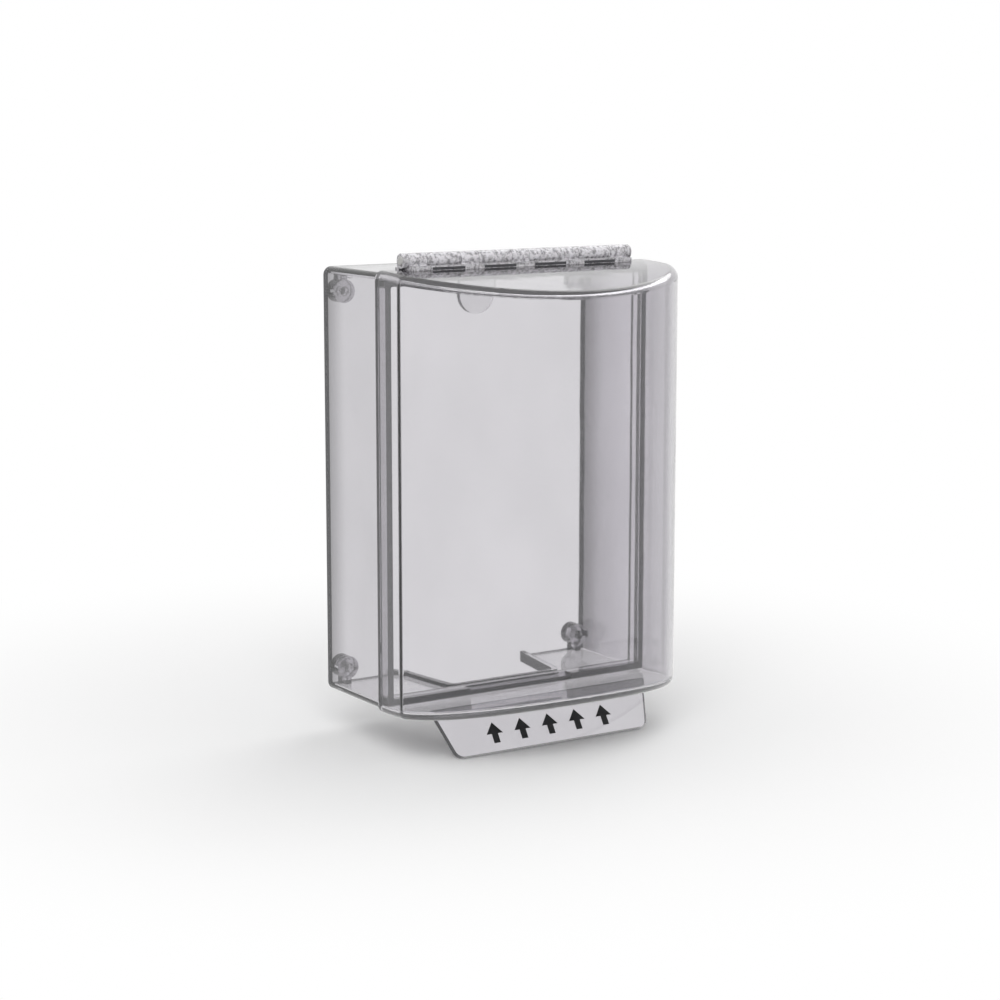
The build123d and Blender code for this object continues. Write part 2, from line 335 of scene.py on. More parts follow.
def end_bands(low, high, depth, width, gap=0.0, upright_only=False):
    """Faces of an open end at one depth from the wall: the sides, the top and the bottom.

    The bottom leaves a gap in its middle.
    """
    spans = [(low.x, low.x + width, low.z, high.z), (high.x - width, high.x, low.z, high.z)]
    if not upright_only:
        spans.append((low.x, high.x, high.z - width, high.z))
        spans.append((low.x, -gap / 2, low.z, low.z + width))
        spans.append((gap / 2, high.x, low.z, low.z + width))
    return [
        Faces(Vector((left, depth, bottom)), Vector((right, depth, top)), OUTWARD, along=True)
        for left, right, bottom, top in spans
    ]


def inside_box(tree, point, low, high):
    """1 where a point lies inside a box, given by two corners, and 0 elsewhere."""
    skin = Vector((BOX_SKIN, BOX_SKIN, BOX_SKIN))
    centred = add_node(
        tree, "ShaderNodeMapping",
        {"Vector": point, "Location": (low + high) / 2, "Scale": (high - low) / 2 + skin},
        vector_type="TEXTURE",
    )
    reach = add_node(tree, "ShaderNodeVectorMath", {0: centred.outputs["Vector"]}, operation="ABSOLUTE")
    sides = add_node(tree, "ShaderNodeSeparateXYZ", {"Vector": reach.outputs["Vector"]})
    inside = add_node(
        tree, "ShaderNodeMath", {0: greatest(tree, *sides.outputs), 1: 1.0}, operation="LESS_THAN"
    )
    return inside.outputs["Value"]


def face_mask(tree, place, faces):
    """1 on some faces of a piece and 0 elsewhere."""
    masks = [0.0]
    for low, high, direction, along in faces:
        look = add_node(
            tree, "ShaderNodeVectorMath", {0: place.outputs["Normal"], 1: direction}, operation="DOT_PRODUCT"
        )
        squareness = add_node(tree, "ShaderNodeMath", {0: look.outputs["Value"]}, operation="ABSOLUTE")
        facing = add_node(
            tree, "ShaderNodeMath", {0: squareness.outputs["Value"], 1: SQUARE_ON if along else SIDE_ON},
            operation="GREATER_THAN" if along else "LESS_THAN",
        )
        box = inside_box(tree, place.outputs["Object"], low, high)
        masks.append(product(tree, box, facing.outputs["Value"]))
    return greatest(tree, *masks)


def flow_waves(tree, place, grain, wave):
    """Noise of the melt's flow, and the surface that it leaves."""
    flow_space = add_node(
        tree, "ShaderNodeMapping",
        {"Vector": place.outputs["Object"], "Scale": [1 / length for length in grain]},
    )
    # Where the melt cooled the plastic is a few hundredths of a millimetre uneven, which bends what
    # is seen through it and makes its reflections wander
    flow = add_node(
        tree, "ShaderNodeTexNoise", {"Vector": flow_space.outputs["Vector"], "Scale": 1.0, "Detail": 2.0}
    )
    bump = add_node(
        tree, "ShaderNodeBump", {"Height": flow.outputs["Fac"], "Distance": wave, "Strength": 1.0}
    )
    return flow.outputs["Fac"], bump.outputs["Normal"]


def depth_shades(tree, place, finish, hollow):
    """Two painted shades of the frame: next to the wall, and from back to front on its right side."""
    depth = add_node(tree, "ShaderNodeSeparateXYZ", {"Vector": place.outputs["Object"]})
    shade = add_node(
        tree, "ShaderNodeMapRange",
        {
            "Value": depth.outputs["Y"], "From Min": -finish.shade_reach,
            "From Max": -finish.shade_reach * FULL_SHADE, "To Min": 1.0, "To Max": finish.wall_shade,
        },
        interpolation_type="SMOOTHSTEP",
    )
    # Painted shade on the frame where it stands on the wall; what is in its hollow isn't shaded
    kept = greatest(tree, shade.outputs["Result"], inside_box(tree, place.outputs["Object"], *hollow))
    # Painted light and shade: the right side is darker at its back and lighter all the way to its front
    side_gradient = add_node(
        tree, "ShaderNodeMapRange",
        {
            "Value": depth.outputs["Y"], "From Min": hollow[0].y, "From Max": hollow[1].y,
            "To Min": finish.front_light, "To Max": finish.back_shade,
        },
    )
    on_right = add_node(
        tree, "ShaderNodeMath", {0: depth.outputs["X"], 1: hollow[1].x - finish.shade_reach},
        operation="GREATER_THAN",
    )
    sided = add_node(
        tree, "ShaderNodeMix",
        {"Factor": on_right.outputs["Value"], "A": 1.0, "B": side_gradient.outputs["Result"]},
    )
    return kept, sided.outputs["Result"]


def speckle(tree, place, finish, lumps, normal):
    """Tone, surface and clearness of plastic that is lumpy in one box and plain elsewhere."""
    # Small thick lumps have dimples and trapped voids, so they look milky; their light and dark specks are
    # painted glints and painted shade, which make them glitter
    folded = add_node(tree, "ShaderNodeVectorMath", {0: place.outputs["Object"]}, operation="ABSOLUTE")
    lumpy = inside_box(tree, folded.outputs["Vector"], lumps.low, lumps.high)
    specks = add_node(
        tree, "ShaderNodeTexNoise",
        {"Vector": place.outputs["Object"], "Scale": 1 / lumps.speck, "Detail": 2.0},
    )
    contrast = add_node(
        tree, "ShaderNodeMapRange",
        {
            "Value": specks.outputs["Fac"], "From Min": SPECK_START, "From Max": SPECK_END,
            "To Min": lumps.dark, "To Max": finish.speck_glint,
        },
    )
    tone = add_node(tree, "ShaderNodeMix", {"Factor": lumpy, "A": 1.0, "B": contrast.outputs["Result"]})
    dimples = add_node(
        tree, "ShaderNodeBump",
        {
            "Height": specks.outputs["Fac"], "Distance": finish.speck_depth, "Strength": lumpy,
            "Normal": normal,
        },
    )
    milk = add_node(
        tree, "ShaderNodeMapRange", {"Value": lumpy, "To Min": 1.0, "To Max": lumps.clearness}
    )
    return tone.outputs["Result"], dimples.outputs["Normal"], milk.outputs["Result"]


def wiped_haze(tree, place, finish, scuff):
    """Roughness of a surface that is wiped clean now and then."""
    # Wiping leaves hair scuffs about 0.4 mm apart and 20 mm long; they are drawn wider than real ones
    scuff_space = add_node(
        tree, "ShaderNodeMapping",
        {"Vector": place.outputs["Object"], "Rotation": (0.5, 0.9, 0.3), "Scale": (50, 900, 2400)},
    )
    scuffs = add_node(
        tree, "ShaderNodeTexNoise", {"Vector": scuff_space.outputs["Vector"], "Scale": 1.0, "Detail": 3.0}
    )
    haze = add_node(
        tree, "ShaderNodeMapRange",
        {
            "Value": scuffs.outputs["Fac"], "From Min": SCUFF_START, "From Max": SCUFF_END,
            "To Min": finish.roughness, "To Max": finish.roughness + scuff,
        },
    )
    return haze.outputs["Result"]


def painted_edge_light(tree, place, finish):
    """Clearness of a piece whose rounded edges at the top and bottom get painted light."""
    # Painted light: the rounded edges scatter a little light, where clean ones would look black
    slope = add_node(
        tree, "ShaderNodeVectorMath", {0: place.outputs["Normal"], 1: UPRIGHT}, operation="DOT_PRODUCT"
    )
    tilt = add_node(tree, "ShaderNodeMath", {0: slope.outputs["Value"]}, operation="ABSOLUTE")
    round_edge = add_node(
        tree, "ShaderNodeMath", {0: tilt.outputs["Value"], 1: ROUNDED, 2: ROUNDED_REACH},
        operation="COMPARE",
    )
    edge_light = add_node(
        tree, "ShaderNodeMapRange",
        {"Value": round_edge.outputs["Value"], "To Min": 1.0, "To Max": finish.edge_clearness},
    )
    return edge_light.outputs["Result"]


def clear_plastic(
    name, finish, grain, wave, scuff, shaded_faces=(), lit=(), tone=1.0, thinning=1.0, hollow=None, lumps=None,
    brightened=False,
):
    """Clear polycarbonate: glossy, greyish where it is thick, with slow flow waves and faint wear.

    grain is the spacing in metres of the flow waves along each axis, wave their height and scuff the
    haze of the wear. shaded_faces are the end faces, seams and slots given painted shade, and lit the
    faces left untinted as painted light. tone is how clear the surface is and thinning the part of the
    body's darkening that is left. Round a hollow, given by two corners, the plastic gets painted shade
    by the wall and a painted gradient on its right side. lumps say where it is lumpy, with painted
    glints and shade in its specks, and brightened that its rounded edges get painted light.
    """
    material, tree = new_material(name)
    place = add_node(tree, "ShaderNodeTexCoord")
    flow, normal = flow_waves(tree, place, grain, wave)
    # The waves leave faint clouds in the clearness, which keep broad walls from looking empty
    clouds = add_node(
        tree, "ShaderNodeMapRange",
        {
            "Value": flow, "From Min": NOISE_LOW, "From Max": NOISE_HIGH,
            "To Min": CLOUD_SHADE, "To Max": 1.0,
        },
    )
    level = product(tree, clouds.outputs["Result"], tone)
    if hollow:
        level = product(tree, level, *depth_shades(tree, place, finish, hollow))
    clearness = painted_edge_light(tree, place, finish) if brightened else 1.0
    if lumps:
        specks, normal, milk = speckle(tree, place, finish, lumps, normal)
        level = product(tree, level, specks)
        clearness = product(tree, clearness, milk)
    clear = add_node(
        tree, "ShaderNodeVectorMath", {0: finish.surface, "Scale": level}, operation="SCALE"
    )
    # Painted light: the lit faces are left untinted white, standing in for light they catch from outside,
    # which makes up for what the plastic round them takes
    lift = add_node(
        tree, "ShaderNodeMix",
        {"Factor": face_mask(tree, place, lit), 6: clear.outputs["Vector"], 7: (1, 1, 1, 1)},
        data_type="RGBA",
    )
    # End faces get painted shade: a dark colour that passes little light stands in for the light that the
    # wall turns away at its rims, and draws the guard's edges; they are also matt
    rim_shade = face_mask(tree, place, shaded_faces)
    colour = add_node(
        tree, "ShaderNodeMix", {"Factor": rim_shade, 6: lift.outputs[2], 7: (*finish.rim_shade, 1)}, data_type="RGBA"
    )
    matt = add_node(
        tree, "ShaderNodeMath", {0: rim_shade, 1: TRIM_HAZE, 2: wiped_haze(tree, place, finish, scuff)},
        operation="MULTIPLY_ADD",
    )
    passing = add_node(
        tree, "ShaderNodeMapRange", {"Value": rim_shade, "To Min": 1.0, "To Max": finish.rim_clearness}
    )
    surface = add_node(
        tree, "ShaderNodeBsdfPrincipled",
        {
            "Base Color": colour.outputs[2], "Roughness": matt.outputs["Value"], "IOR": 1.585,
            "Transmission Weight": product(tree, passing.outputs["Result"], clearness),
            "Normal": normal,
        },
    )
    body = add_node(
        tree, "ShaderNodeVolumeAbsorption",
        {"Color": (*finish.body_tint, 1), "Density": finish.body_density * thinning},
    )
    add_node(
        tree, "ShaderNodeOutputMaterial",
        {"Surface": surface.outputs["BSDF"], "Volume": body.outputs["Volume"]},
    )
    return material


def drawn_nylon(name, finish):
    """Uncoloured nylon rod: milky and satin, with fine draw lines along its length (X)."""
    material, tree = new_material(name)
    place = add_node(tree, "ShaderNodeTexCoord")
    # Draw lines 0.1 mm apart run the length of the pin
    line_space = add_node(
        tree, "ShaderNodeMapping", {"Vector": place.outputs["Object"], "Scale": (40, 10000, 10000)}
    )
    lines = add_node(
        tree, "ShaderNodeTexNoise", {"Vector": line_space.outputs["Vector"], "Scale": 1.0, "Detail": 2.0}
    )
    polish = add_node(
        tree, "ShaderNodeMapRange",
        {
            "Value": lines.outputs["Fac"], "From Min": NOISE_LOW, "From Max": NOISE_HIGH,
            "To Min": finish.roughness - 0.1, "To Max": finish.roughness + 0.12,
        },
    )
    groove = add_node(
        tree, "ShaderNodeBump",
        {"Height": lines.outputs["Fac"], "Distance": millimetres(0.01), "Strength": 0.6},
    )
    # Scattered light makes the rod look milky, a little more so every 5 or 6 mm
    milk = add_node(
        tree, "ShaderNodeTexNoise", {"Vector": place.outputs["Object"], "Scale": 180, "Detail": 2.0}
    )
    tint = add_node(
        tree, "ShaderNodeMapRange",
        {
            "Value": milk.outputs["Fac"], "From Min": NOISE_LOW, "From Max": NOISE_HIGH,
            "To Min": 0.9, "To Max": 1.0,
        },
    )
    colour = add_node(
        tree, "ShaderNodeVectorMath", {0: finish.colour, "Scale": tint.outputs["Result"]}, operation="SCALE"
    )
    surface = add_node(
        tree, "ShaderNodeBsdfPrincipled",
        {
            "Base Color": colour.outputs["Vector"], "Roughness": polish.outputs["Result"], "IOR": 1.53,
            "Transmission Weight": 0.25, "Normal": groove.outputs["Normal"],
        },
    )
    add_node(tree, "ShaderNodeOutputMaterial", {"Surface": surface.outputs["BSDF"]})
    return material


def screen_ink(name, marks):
    """Screen-printed ink: matt black, a little uneven where the mesh laid it."""
    material, tree = new_material(name)
    place = add_node(tree, "ShaderNodeTexCoord")
    # The printing mesh leaves dots about 0.3 mm apart
    mesh_dots = add_node(
        tree, "ShaderNodeTexNoise", {"Vector": place.outputs["Object"], "Scale": 3300, "Detail": 1.0}
    )
    cover = add_node(
        tree, "ShaderNodeMapRange",
        {
            "Value": mesh_dots.outputs["Fac"], "From Min": NOISE_LOW, "From Max": NOISE_HIGH,
            "To Min": 0.38, "To Max": 0.6,
        },
    )
    lay = add_node(
        tree, "ShaderNodeBump",
        {"Height": mesh_dots.outputs["Fac"], "Distance": millimetres(0.01), "Strength": 0.5},
    )
    surface = add_node(
        tree, "ShaderNodeBsdfPrincipled",
        {
            "Base Color": (*marks.ink, 1), "Roughness": cover.outputs["Result"], "IOR": 1.5,
            "Normal": lay.outputs["Normal"],
        },
    )
    add_node(tree, "ShaderNodeOutputMaterial", {"Surface": surface.outputs["BSDF"]})
    return material


def start_edit(piece):
    """Opens one piece alone in edit mode with nothing selected."""
    bpy.ops.object.select_all(action="DESELECT")
    piece.select_set(True)
    bpy.context.view_layer.objects.active = piece
    bpy.ops.object.mode_set(mode="EDIT")
    bpy.ops.mesh.select_all(action="DESELECT")


def select_edges(piece, test):
    """Selects the edges of the piece in edit mode whose two ends both pass the test."""
    shape = bmesh.from_edit_mesh(piece.data)
    for vertex in shape.verts:
        vertex.select_set(test(vertex.co))
    shape.select_flush_mode()
    bmesh.update_edit_mesh(piece.data)


class GUARD_OT_wall_frame(Operator):
    """Gives the wall frame its clear moulded plastic"""

    bl_idname = "guard.wall_frame"
    bl_label = "Wall frame"

    notch_width: FloatProperty(
        name="Notch width", description="Width of the cable notch with its edges", default=millimetres(79),
        min=0, unit="LENGTH",
    )
    notch_depth: FloatProperty(
        name="Notch depth", description="Distance of the notch's front from the wall",
        default=millimetres(43.5), min=0, unit="LENGTH",
    )
    notch_height: FloatProperty(
        name="Notch height", description="Height of the notch's edges above the frame's underside",
        default=millimetres(5.2), min=0, unit="LENGTH",
    )
    wall: FloatProperty(
        name="Wall", description="Thickness that holds each side of the frame", default=millimetres(3.8),
        min=0, unit="LENGTH",
    )
    edge: FloatProperty(
        name="Trimmed edge", description="Depth of the dark edge next to the wall", default=millimetres(2),
        min=0, unit="LENGTH",
    )
    flange: FloatProperty(
        name="Dark flange", description="Width of the flange and lip that look dark from the front",
        default=millimetres(8), min=0, unit="LENGTH",
    )
    lip_gap: FloatProperty(
        name="Lip gap", description="Width of the gap in the middle of the lower lip",
        default=millimetres(58), min=0, unit="LENGTH",
    )
    boss: FloatProperty(
        name="Boss reach", description="How far the screw bosses reach in from the frame's corners",
        default=millimetres(16), min=0, unit="LENGTH",
    )
    boss_height: FloatProperty(
        name="Boss height", description="Height of the screw bosses", default=millimetres(8), min=0,
        unit="LENGTH",
    )
    boss_clearness: FloatProperty(
        name="Boss clearness", description="Share of light that the bosses let through", default=0.95,
        min=0, max=1, subtype="FACTOR",
    )
    speck: FloatProperty(
        name="Speck", description="Spacing of the bosses' specks", default=millimetres(2.4),
        min=millimetres(0.1), unit="LENGTH",
    )
    # The dark specks are painted shade
    speck_shade: FloatProperty(
        name="Dark speck", description="Clearness of the bosses' dark specks", default=0.1, min=0, max=1,
        subtype="FACTOR",
    )
    tongue_width: FloatProperty(
        name="Tongue width", description="Width that holds the tongue", default=millimetres(20), min=0,
        unit="LENGTH",
    )
    tongue_drop: FloatProperty(
        name="Tongue drop", description="How far down the tongue is looked for", default=millimetres(25),
        min=0, unit="LENGTH",
    )

    def execute(self, context):
        finish = context.scene.guard_plastic
        wave = finish.wave_length
        low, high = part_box("wall_frame")
        material = clear_plastic(
            "moulded_clear_polycarbonate_frame", finish, grain=(wave, wave, FLOW_STRETCH * wave),
            wave=millimetres(0.12), scuff=0.05, shaded_faces=self.end_faces(low, high),
            lit=self.lit_faces(low, high), tone=0.92, hollow=self.hollow(low, high),
            lumps=self.bosses(high),
        )
        dress("wall_frame", material)
        return {"FINISHED"}

    def end_faces(self, low, high):
        """Painted shade on the front lip, the flange behind the cover, the edge on the wall and the notch's
        edges.
        """
        cover_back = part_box("cover_dome")[1].y
        faces = end_bands(low, high, low.y, self.flange, gap=self.lip_gap)
        faces += end_bands(low, high, cover_back, self.flange, upright_only=True)
        faces += end_bands(low, high, high.y, self.wall)
        notch_low = Vector((-self.notch_width / 2, -self.notch_depth, low.z))
        notch_high = Vector((self.notch_width / 2, 0, low.z + self.notch_height))
        faces.append(Faces(notch_low, notch_high, UPRIGHT, along=False))
        faces.append(Faces(Vector((low.x, -self.edge, low.z)), high, OUTWARD, along=False))
        return faces

    def lit_faces(self, low, high):
        """Faces painted with light: the floor, the tongue and the fronts of the two upper bosses."""
        floor_high = Vector((high.x, high.y, low.z + self.notch_height))
        tongue_low = Vector((-self.tongue_width / 2, low.y / 2, high.z - self.tongue_drop))
        tongue_high = Vector((self.tongue_width / 2, -self.edge, high.z - self.wall))
        faces = [
            Faces(low, floor_high, UPRIGHT, along=True),
            Faces(tongue_low, tongue_high, OUTWARD, along=True),
        ]
        for side in (-1, 1):
            corner_x = side * (high.x - self.boss / 2)
            corner = Vector((corner_x, -self.boss_height, high.z - self.boss / 2))
            reach = Vector((self.boss / 2, self.edge / 4, high.z))
            faces.append(Faces(corner - reach, corner + reach, OUTWARD, along=True))
        return faces

    def hollow(self, low, high):
        """Two corners of the space inside the four walls."""
        return (
            Vector((low.x + self.wall, low.y, low.z + self.wall)),
            Vector((high.x - self.wall, high.y, high.z - self.wall)),
        )

    def bosses(self, high):
        """The lumpy plastic of the screw bosses, with painted glints and shade in its specks."""
        return Lumps(
            Vector((high.x - self.boss, self.edge / 2, high.z - self.boss)),
            Vector((high.x - self.wall, self.boss_height, high.z - self.wall)),
            self.speck, self.speck_shade, self.boss_clearness,
        )


class GUARD_OT_cover(Operator):
    """Gives the cover its clear moulded plastic"""

    bl_idname = "guard.cover"
    bl_label = "Cover"

    floor_rise: FloatProperty(
        name="Floor rise", description="Height that holds the cover's floor", default=millimetres(12),
        min=0, unit="LENGTH",
    )
    lip: FloatProperty(
        name="Lip depth", description="Depth that holds the floor's back lip", default=millimetres(4),
        min=0, unit="LENGTH",
    )

    def execute(self, context):
        finish = context.scene.guard_plastic
        wave = finish.wave_length
        low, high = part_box("cover_dome")
        floor_high = Vector((high.x, high.y, low.z + self.floor_rise))
        lip_low = Vector((low.x, high.y - self.lip, low.z))
        # The floor and its back lip are painted light: they stay untinted
        lit = [
            Faces(low, floor_high, UPRIGHT, along=True), Faces(lip_low, floor_high, OUTWARD, along=True)
        ]
        material = clear_plastic(
            "moulded_clear_polycarbonate_cover", finish, grain=(wave, wave, FLOW_STRETCH * wave),
            wave=millimetres(0.12), scuff=0.05, lit=lit, tone=0.96, thinning=0.6, brightened=True,
        )
        dress("cover_dome", material)
        return {"FINISHED"}


class GUARD_OT_lift_tab(Operator):
    """Gives the lift tab its clear plastic with painted shade on its edges"""

    bl_idname = "guard.lift_tab"
    bl_label = "Lift tab"

    def execute(self, context):
        finish = context.scene.guard_plastic
        wave = finish.wave_length
        # The tab's edges get painted shade
        shaded_faces = [Faces(*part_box("lift_tab"), TAB_FACING, along=False)]
        material = clear_plastic(
            "moulded_clear_polycarbonate_tab", finish, grain=(wave, wave / 2, wave / 2),
            wave=millimetres(0.08), scuff=0.08, shaded_faces=shaded_faces, tone=0.92,
        )
        dress("lift_tab", material)
        return {"FINISHED"}


class GUARD_OT_hinge_strips(Operator):
    """Gives the two hinge leaves their clear pressed plastic"""

    bl_idname = "guard.hinge_strips"
    bl_label = "Hinge strips"

    ripple: FloatProperty(
        name="Ripple", description="Spacing of the waves across the strips", default=millimetres(3),
        min=millimetres(0.1), unit="LENGTH",
    )
    seam: FloatProperty(
        name="Seam", description="How far the dark seam reaches behind the cover",
        default=millimetres(0.4), min=0, unit="LENGTH",
    )
    slot: FloatProperty(
        name="Slot", description="Height of the dark slots", default=millimetres(0.7), min=0,
        unit="LENGTH",
    )
    slot_width: FloatProperty(
        name="Slot width", description="Width of the dark slots", default=millimetres(17), min=0,
        unit="LENGTH",
    )
    slot_pitch: FloatProperty(
        name="Slot pitch", description="Distance from one slot to the next", default=millimetres(28.05),
        min=0, unit="LENGTH",
    )
    slot_count: IntProperty(name="Slots", description="Number of dark slots", default=4, min=0)
    void_clearness: FloatProperty(
        name="Void clearness", description="Share of light that the strips let through", default=0.45,
        min=0, max=1, subtype="FACTOR",
    )
    speck: FloatProperty(
        name="Speck", description="Spacing of the strips' specks", default=millimetres(1.6),
        min=millimetres(0.1), unit="LENGTH",
    )
    # The dark specks are painted shade
    speck_shade: FloatProperty(
        name="Dark speck", description="Clearness of the strips' dark specks", default=0.5, min=0, max=1,
        subtype="FACTOR",
    )

    def execute(self, context):
        # The pressed knuckles are wavy and mottled, much more so than the broad mouldings
        grain = (2 * self.ripple, self.ripple, self.ripple)
        pin_low, pin_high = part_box("hinge_pin")
        for node in ("frame_hinge_leaf", "cover_hinge_leaf"):
            low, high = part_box(node)
            # The barrel is as far below the pin's middle as it is above
            barrel_foot = pin_low.z + pin_high.z - high.z
            # The seam and the slots are painted shade: they take the dark colour of the end faces
            dark = self.slots if node == "cover_hinge_leaf" else self.dark_seam
            lumps = Lumps(
                Vector((0, -high.y, low.z)), Vector((high.x, -low.y, high.z)), self.speck,
                self.speck_shade, self.void_clearness,
            )
            material = clear_plastic(
                f"pressed_clear_polycarbonate_{node}", context.scene.guard_plastic, grain=grain,
                wave=millimetres(0.08), scuff=0.1, shaded_faces=dark(low, high, barrel_foot), tone=1.3,
                thinning=0.15, lumps=lumps,
            )
            dress(node, material)
        return {"FINISHED"}

    def dark_seam(self, low, high, barrel_foot):
        """The seam under the barrel, painted dark as the barrel's own shade."""
        seam_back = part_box("cover_dome")[1].y + self.seam
        return [Faces(low, Vector((high.x, seam_back, barrel_foot)), ACROSS, along=False)]

    def slots(self, low, high, barrel_foot):
        """Painted shade in the slots under the frame's wide knuckles, between the cover's narrow ones."""
        half = Vector((self.slot_width / 2, 0, self.slot / 2))
        centres = [(index - (self.slot_count - 1) / 2) * self.slot_pitch for index in range(self.slot_count)]
        middle = (low.y + high.y) / 2
        return [
            Faces(
                Vector((centre, low.y, barrel_foot)) - half, Vector((centre, middle, barrel_foot)) + half,
                ACROSS, along=False,
            )
            for centre in centres
        ]


class GUARD_OT_hinge_pin(Operator):
    """Gives the hinge pin its satin nylon"""

    bl_idname = "guard.hinge_pin"
    bl_label = "Hinge pin"

    def execute(self, context):
        dress("hinge_pin", drawn_nylon("drawn_natural_nylon", context.scene.guard_pin))
        return {"FINISHED"}


class GUARD_OT_lift_marks(Operator):
    """Prints a row of plain upward arrows on the front of the lift tab"""

    bl_idname = "guard.lift_marks"
    bl_label = "Lift marks"

    def execute(self, context):
        marks = context.scene.guard_marks
        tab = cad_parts["lift_tab"].data
        edge = min((vertex.co for vertex in tab.vertices), key=lambda co: co.y)
        up = TAB_FACING.cross(ACROSS)
        total = marks.head_height + marks.stem_height
        foot = Vector((0, edge.y, edge.z)) + up * (marks.rise - total / 2)

        bpy.ops.object.select_all(action="DESELECT")
        bpy.ops.mesh.primitive_circle_add(vertices=3, radius=1, fill_type="NGON")
        arrow = context.object
        arrow.name = arrow.data.name = "lift_arrow_1"
        start_edit(arrow)
        near_stem = marks.stem_height + marks.head_height / 10
        # Head: the triangle is brought to size with its base at the top of the stem
        bpy.ops.mesh.select_all(action="SELECT")
        bpy.ops.transform.resize(
            value=(marks.head_width / math.sqrt(3), marks.head_height / 1.5, 1),
            center_override=(0, 0, 0),
        )
        bpy.ops.transform.translate(value=(0, marks.stem_height + marks.head_height / 3, 0))
        # Stem: the middle of the head's base is narrowed to the stem's width and drawn down
        select_edges(arrow, lambda co: co.y < near_stem)
        bpy.ops.mesh.subdivide(number_cuts=2)
        select_edges(arrow, lambda co: co.y < near_stem and abs(co.x) < marks.head_width / 3)
        bpy.ops.transform.resize(
            value=(3 * marks.stem_width / marks.head_width, 1, 1),
            center_override=(0, marks.stem_height, 0),
        )
        bpy.ops.mesh.extrude_edges_move(TRANSFORM_OT_translate={"value": (0, -marks.stem_height, 0)})
        # Ink film
        bpy.ops.mesh.select_all(action="SELECT")
        bpy.ops.mesh.extrude_region_move(TRANSFORM_OT_translate={"value": (0, 0, marks.thickness)})
        bpy.ops.mesh.select_all(action="SELECT")
        bpy.ops.mesh.normals_make_consistent(inside=False)
        bpy.ops.object.mode_set(mode="OBJECT")

        turn = Matrix((ACROSS, up, TAB_FACING)).transposed().to_4x4()
        ink = screen_ink("screen_printed_black_ink", marks)
        arrow.data.materials.append(ink)
        row = [arrow]
        for number in range(2, marks.count + 1):
            twin = arrow.copy()
            twin.data = arrow.data.copy()
            twin.name = twin.data.name = f"lift_arrow_{number}"
            context.scene.collection.objects.link(twin)
            row.append(twin)
        for index, piece in enumerate(row):
            across = Vector(((index - (marks.count - 1) / 2) * marks.pitch, 0, 0))
            piece.matrix_world = Matrix.Translation(foot + across) @ turn
            bpy.ops.object.select_all(action="DESELECT")
            piece.select_set(True)
            context.view_layer.objects.active = piece
            bpy.ops.object.transform_apply(location=True, rotation=True, scale=True)
            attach(piece, "cover")
        return {"FINISHED"}


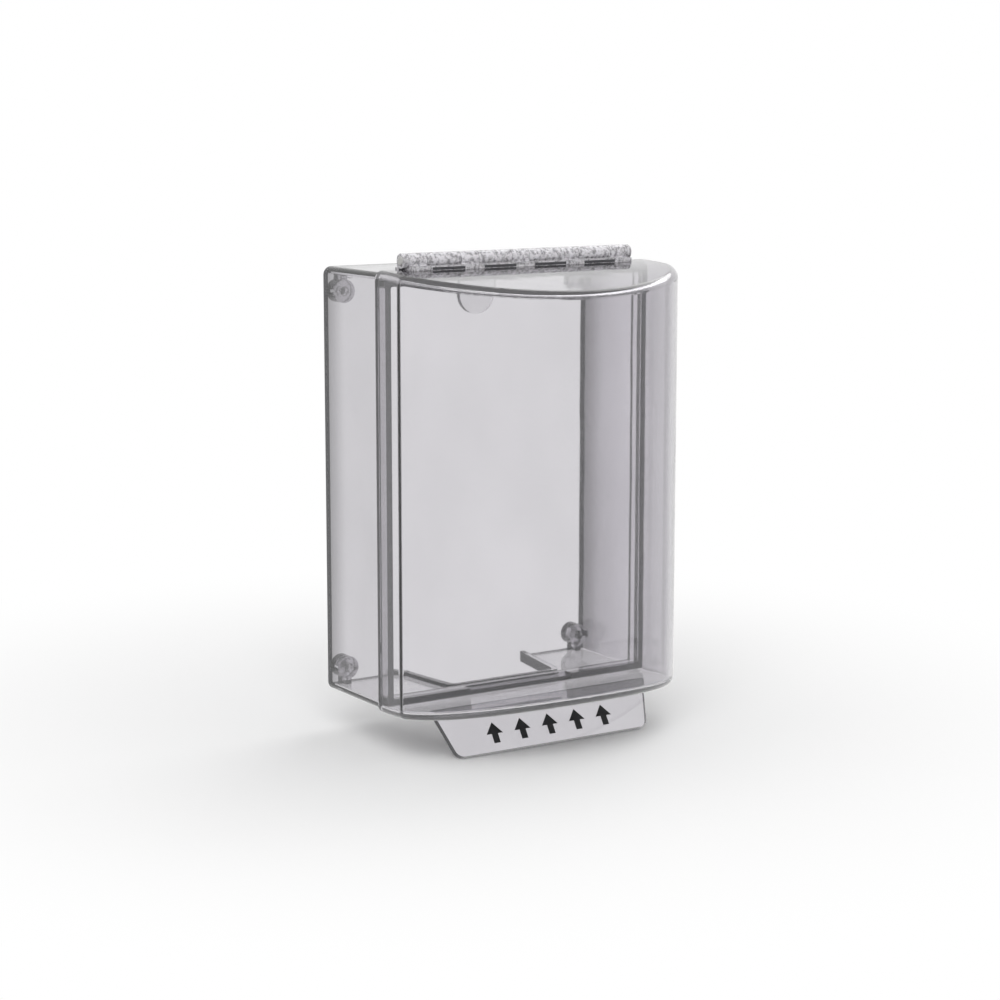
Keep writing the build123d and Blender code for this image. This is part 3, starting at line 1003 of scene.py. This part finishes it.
class GUARD_OT_studio(Operator):
    """Sets up the floor, the white background, the lamps and the camera"""

    bl_idname = "guard.studio"
    bl_label = "Studio"

    def execute(self, context):
        studio = context.scene.guard_studio
        self.add_floor(studio, height=CAD_BOX[0][2])
        self.add_background(context, studio)
        self.add_lamp("key_lamp", studio.key_power, studio.key_size, studio.key_place)
        self.add_lamp("rim_lamp", studio.rim_power, studio.rim_size, studio.rim_place)
        lens = bpy.data.cameras.new("studio_camera")
        lens.lens = studio.lens
        lens.sensor_width = SENSOR_WIDTH
        camera = bpy.data.objects.new("studio_camera", lens)
        camera.location = studio.place
        camera.rotation_euler = (math.pi / 2 - studio.pitch, 0, studio.azimuth)
        context.scene.collection.objects.link(camera)
        context.scene.camera = camera
        context.scene.view_settings.view_transform = "Standard"
        return {"FINISHED"}

    def add_floor(self, studio, height):
        """A pale matt floor that fades to plain white away from the guard."""
        bpy.ops.object.select_all(action="DESELECT")
        bpy.ops.mesh.primitive_plane_add(size=studio.floor_size, location=(0, 0, height))
        floor = bpy.context.object
        floor.name = floor.data.name = "studio_floor"
        bpy.ops.object.transform_apply(location=True, rotation=True, scale=True)
        material, tree = new_material("matt_white_board")
        place = add_node(tree, "ShaderNodeTexCoord")
        reach = add_node(tree, "ShaderNodeVectorMath", {0: place.outputs["Object"]}, operation="LENGTH")
        fade = add_node(
            tree, "ShaderNodeMapRange",
            {
                "Value": reach.outputs["Value"], "From Min": studio.shadow_size,
                "From Max": studio.white_size,
            },
            interpolation_type="SMOOTHSTEP",
        )
        # The eye sees the soft shadow near the guard; through and in the plastic the board is plain white
        path = add_node(tree, "ShaderNodeLightPath")
        seen = product(tree, path.outputs["Is Camera Ray"], fade.outputs["Result"])
        in_plastic = greatest(tree, path.outputs["Is Glossy Ray"], path.outputs["Is Transmission Ray"])
        board = add_node(
            tree, "ShaderNodeBsdfPrincipled", {"Base Color": (*studio.floor_colour, 1), "Roughness": 0.9}
        )
        white = add_node(tree, "ShaderNodeEmission", {"Color": (1, 1, 1, 1), "Strength": 1.0})
        mix = add_node(
            tree, "ShaderNodeMixShader",
            {0: greatest(tree, seen, in_plastic), 1: board.outputs["BSDF"], 2: white.outputs["Emission"]},
        )
        add_node(tree, "ShaderNodeOutputMaterial", {"Surface": mix.outputs["Shader"]})
        floor.data.materials.append(material)

    def add_background(self, context, studio):
        """White where it is seen, a dim ceiling in reflections, and a soft fill for all other light."""
        world = bpy.data.worlds.new("studio_white")
        world.use_nodes = True
        tree = world.node_tree
        tree.nodes.clear()
        place = add_node(tree, "ShaderNodeTexCoord")
        height = add_node(tree, "ShaderNodeSeparateXYZ", {"Vector": place.outputs["Generated"]})
        ceiling = add_node(
            tree, "ShaderNodeMapRange",
            {
                "Value": height.outputs["Z"], "From Min": CEILING_START, "From Max": CEILING_END,
                "To Min": 1.0, "To Max": studio.ceiling,
            },
            interpolation_type="SMOOTHSTEP",
        )
        path = add_node(tree, "ShaderNodeLightPath")
        in_plastic = greatest(tree, path.outputs["Is Glossy Ray"], path.outputs["Is Transmission Ray"])
        shown = add_node(
            tree, "ShaderNodeMix", {"Factor": in_plastic, "A": studio.fill, "B": ceiling.outputs["Result"]}
        )
        strength = greatest(tree, path.outputs["Is Camera Ray"], shown.outputs["Result"])
        light = add_node(tree, "ShaderNodeBackground", {"Color": (1, 1, 1, 1), "Strength": strength})
        add_node(tree, "ShaderNodeOutputWorld", {"Surface": light.outputs["Background"]})
        context.scene.world = world

    def add_lamp(self, name, power, size, place):
        """A square soft box that faces the guard."""
        lamp = bpy.data.lights.new(name, "AREA")
        lamp.energy = power
        lamp.size = size
        box = bpy.data.objects.new(name, lamp)
        box.location = place
        box.rotation_euler = (-Vector(place)).to_track_quat("-Z", "Y").to_euler()
        bpy.context.scene.collection.objects.link(box)


class GUARD_PT_panel(Panel):
    """Steps that finish the guard"""

    bl_idname = "GUARD_PT_panel"
    bl_label = "Wall Guard"
    bl_space_type = "VIEW_3D"
    bl_region_type = "UI"
    bl_category = "Wall Guard"

    def draw(self, context):
        for step in STEPS:
            self.layout.operator(step.bl_idname)
        for group, owner in GROUPS.items():
            box = self.layout.box()
            box.label(text=owner.__doc__)
            for name in owner.__annotations__:
                box.prop(getattr(context.scene, group), name)


STEPS = (
    GUARD_OT_wall_frame,
    GUARD_OT_cover,
    GUARD_OT_lift_tab,
    GUARD_OT_hinge_strips,
    GUARD_OT_hinge_pin,
    GUARD_OT_lift_marks,
    GUARD_OT_studio,
)
GROUPS = {
    "guard_plastic": PlasticFinish,
    "guard_pin": PinFinish,
    "guard_marks": LiftMarks,
    "guard_studio": Studio,
}


def register():
    for group, owner in GROUPS.items():
        bpy.utils.register_class(owner)
        setattr(bpy.types.Scene, group, PointerProperty(type=owner))
    for owner in (*STEPS, GUARD_PT_panel):
        bpy.utils.register_class(owner)


def unregister():
    for owner in (GUARD_PT_panel, *reversed(STEPS)):
        bpy.utils.unregister_class(owner)
    for group, owner in GROUPS.items():
        delattr(bpy.types.Scene, group)
        bpy.utils.unregister_class(owner)


def main():
    register()
    bpy.ops.guard.wall_frame()
    bpy.ops.guard.cover()
    bpy.ops.guard.lift_tab()
    bpy.ops.guard.hinge_strips()
    bpy.ops.guard.hinge_pin()
    bpy.ops.guard.lift_marks()
    bpy.ops.guard.studio()


if __name__ == "__main__":
    main()
